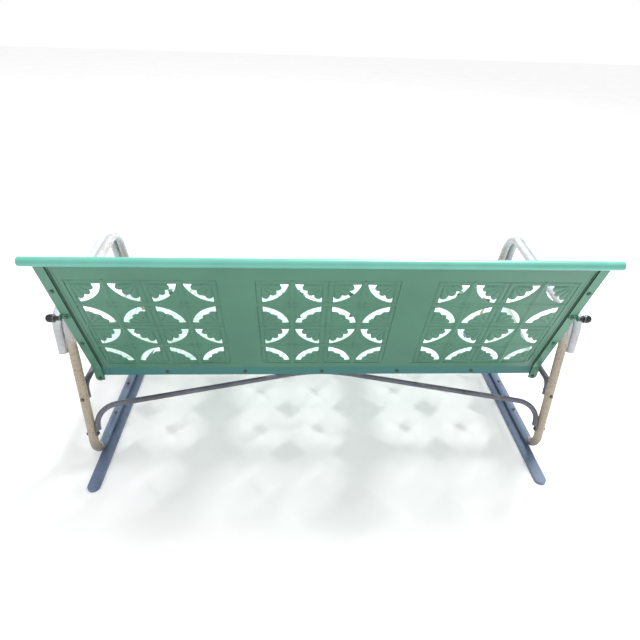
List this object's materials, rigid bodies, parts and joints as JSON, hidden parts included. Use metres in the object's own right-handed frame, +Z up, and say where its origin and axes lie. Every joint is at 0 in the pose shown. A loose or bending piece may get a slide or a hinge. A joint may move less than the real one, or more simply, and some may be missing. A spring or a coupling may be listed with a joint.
{
  "type": "porch glider",
  "caption": "Metal porch glider: pierced sheet seat and leaning back swinging on parallel links inside a bent-tube base with floor runners.",
  "frame": {"origin": "on the floor under the middle of the base", "axes": "+Z up, the seat faces -Y, +X towards the sitter's left"},
  "size_m": [1.846, 1.0298, 0.8799],
  "materials": {
    "white_enamel_tube": "worn white enamel, satin",
    "runner_enamel": "worn white enamel, satin",
    "grey_enamel": "worn grey enamel, satin",
    "green_enamel": "semi-gloss sea-green enamel",
    "seat_enamel": "semi-gloss pale green enamel",
    "frame_enamel": "satin sea-green enamel",
    "bright_steel": "bright zinc",
    "black_rubber": "moulded, smooth",
    "brass_bush": "dull",
    "link_steel": "worn grey enamel",
    "dark_steel": "rust-darkened"
  },
  "bodies": {
    "base": {"arm_tube_left": "white_enamel_tube", "arm_tube_right": "white_enamel_tube", "arm_welds": "white_enamel_tube", "floor_runner_left": "runner_enamel", "floor_runner_right": "runner_enamel", "front_stretcher": "grey_enamel", "hanger_lugs": "grey_enamel", "hanger_rail_left": "grey_enamel", "hanger_rail_right": "grey_enamel", "leg_bolts": "dark_steel", "rear_stretcher": "grey_enamel", "runner_screws": "dark_steel", "side_loop_left": "white_enamel_tube", "side_loop_right": "white_enamel_tube", "stretcher_bolts": "dark_steel", "upper_pins": "dark_steel"},
    "link_rear_left": {"link_rear_left": "link_steel", "link_bushes_rear_left": "brass_bush"},
    "link_rear_right": {"link_rear_right": "link_steel", "link_bushes_rear_right": "brass_bush"},
    "link_front_left": {"link_front_left": "link_steel", "link_bushes_front_left": "brass_bush"},
    "link_front_right": {"link_front_right": "link_steel", "link_bushes_front_right": "brass_bush"},
    "seat": {"back_panel": "green_enamel", "back_strap_left": "green_enamel", "back_strap_right": "green_enamel", "band_bolts": "green_enamel", "bumper_bolts": "green_enamel", "bumper_bracket_left": "green_enamel", "bumper_bracket_right": "green_enamel", "bumper_ferrule_left": "bright_steel", "bumper_ferrule_right": "bright_steel", "bumper_knob_left": "black_rubber", "bumper_knob_right": "black_rubber", "ear_bolts": "green_enamel", "front_angle": "frame_enamel", "lower_pins": "dark_steel", "rear_angle": "frame_enamel", "seat_brackets": "frame_enamel", "seat_pan": "seat_enamel", "seat_rail_left": "frame_enamel", "seat_rail_right": "frame_enamel", "seat_rib_left": "frame_enamel", "seat_rib_right": "frame_enamel", "seat_screws": "seat_enamel", "strap_bolts": "green_enamel", "top_rail": "green_enamel"}
  },
  "joints": [
    {"name": "rear_left_swing", "type": "hinge", "parent": "base", "child": "link_rear_left", "pos_m": [0.855, 0.015, 0.288], "axis": [1, 0, 0], "range_deg": [-24, 24]},
    {"name": "seat_level", "type": "hinge", "parent": "link_rear_left", "child": "seat", "pos_m": [0.855, 0.015, 0.18], "axis": [1, 0, 0], "range_deg": [-24, 24]},
    {"name": "rear_right_swing", "type": "hinge", "parent": "base", "child": "link_rear_right", "pos_m": [-0.855, 0.015, 0.288], "axis": [1, 0, 0], "range_deg": [-24, 24]},
    {"name": "front_left_swing", "type": "hinge", "parent": "base", "child": "link_front_left", "pos_m": [0.855, -0.245, 0.288], "axis": [1, 0, 0], "range_deg": [-24, 24]},
    {"name": "front_right_swing", "type": "hinge", "parent": "base", "child": "link_front_right", "pos_m": [-0.855, -0.245, 0.288], "axis": [1, 0, 0], "range_deg": [-24, 24]}
  ],
  "couplings": [
    {"joint": "seat_level", "follows": "rear_left_swing", "ratio": -1},
    {"joint": "rear_right_swing", "follows": "rear_left_swing", "ratio": 1},
    {"joint": "front_left_swing", "follows": "rear_left_swing", "ratio": 1},
    {"joint": "front_right_swing", "follows": "rear_left_swing", "ratio": 1}
  ]
}
